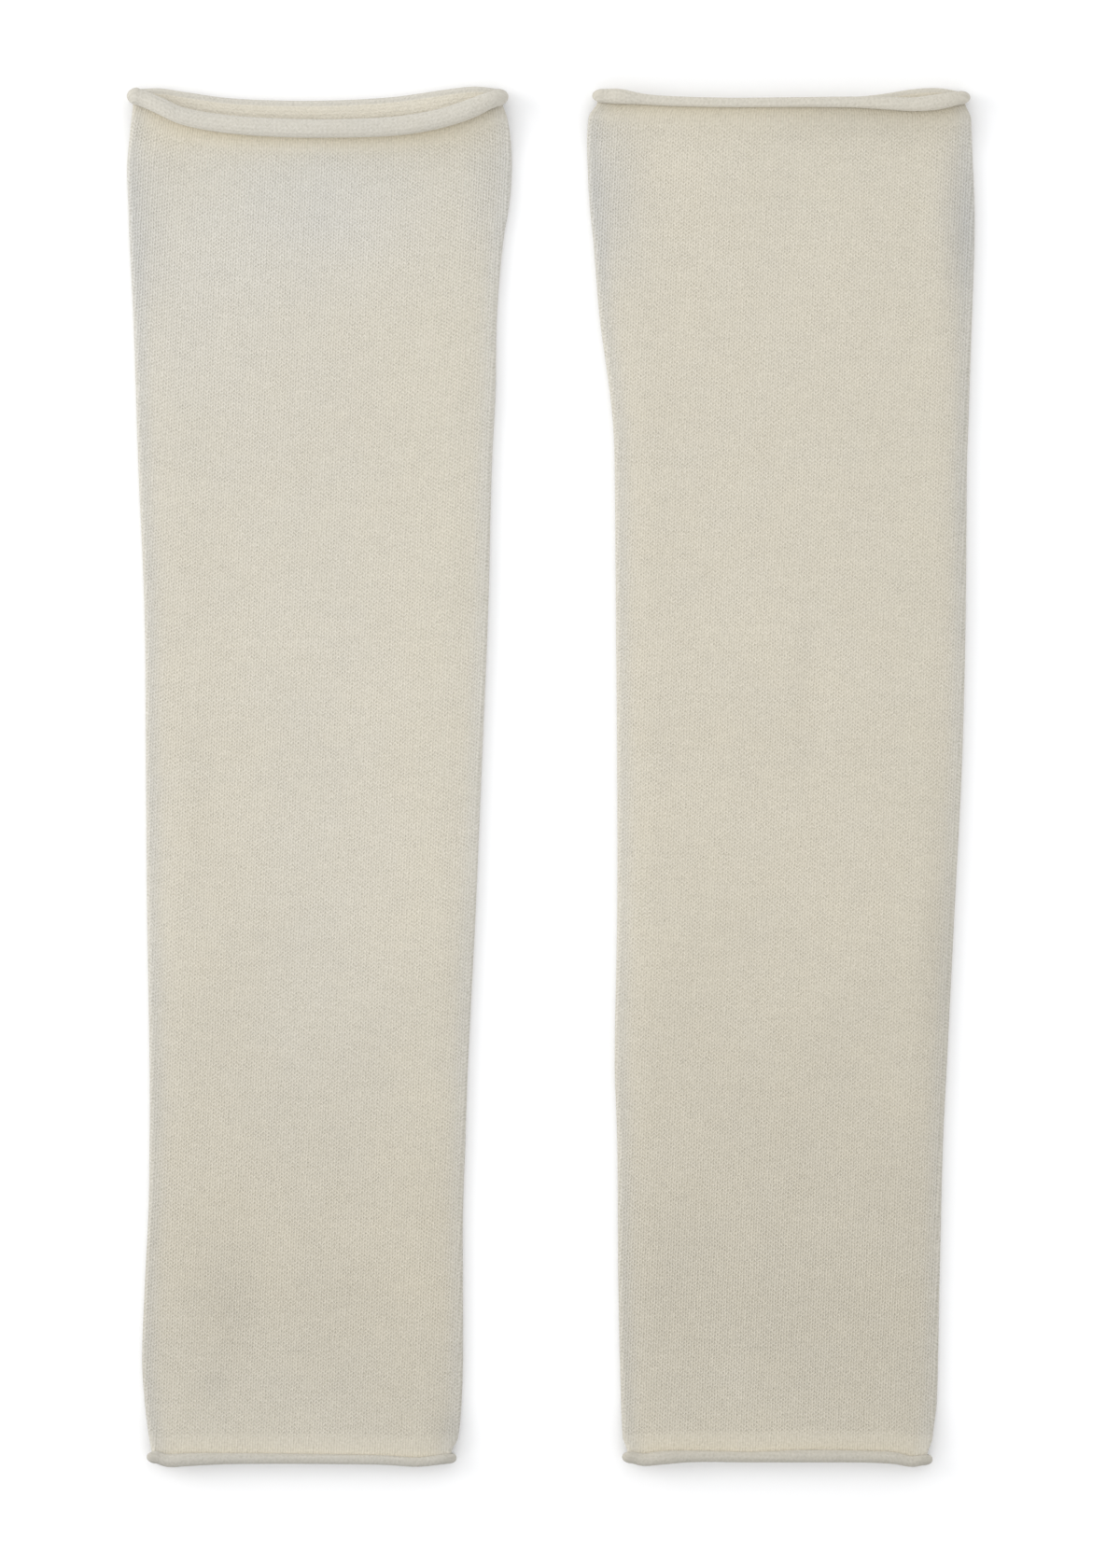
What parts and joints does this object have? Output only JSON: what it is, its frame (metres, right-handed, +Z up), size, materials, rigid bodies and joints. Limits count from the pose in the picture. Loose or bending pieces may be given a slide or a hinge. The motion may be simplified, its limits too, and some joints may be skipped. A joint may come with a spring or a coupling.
{
  "type": "pair of leg warmers",
  "caption": "Long tapered leg warmers of fine plain knit with self-rolled hems, laid flat side by side, wide ends together.",
  "frame": {"origin": "middle of the pair's box, on the ground it lies on", "axes": "+Y towards the wide top hems, +X towards the right leg warmer, +Z up out of the ground"},
  "size_m": [0.3376, 0.5496, 0.0147],
  "materials": {
    "knit": "cream fine-gauge plain knit, matt with a soft short nap, purl side out on the rolls"
  },
  "bodies": {
    "root": {"left_leg_warmer": "knit", "right_leg_warmer": "knit"}
  },
  "joints": []
}
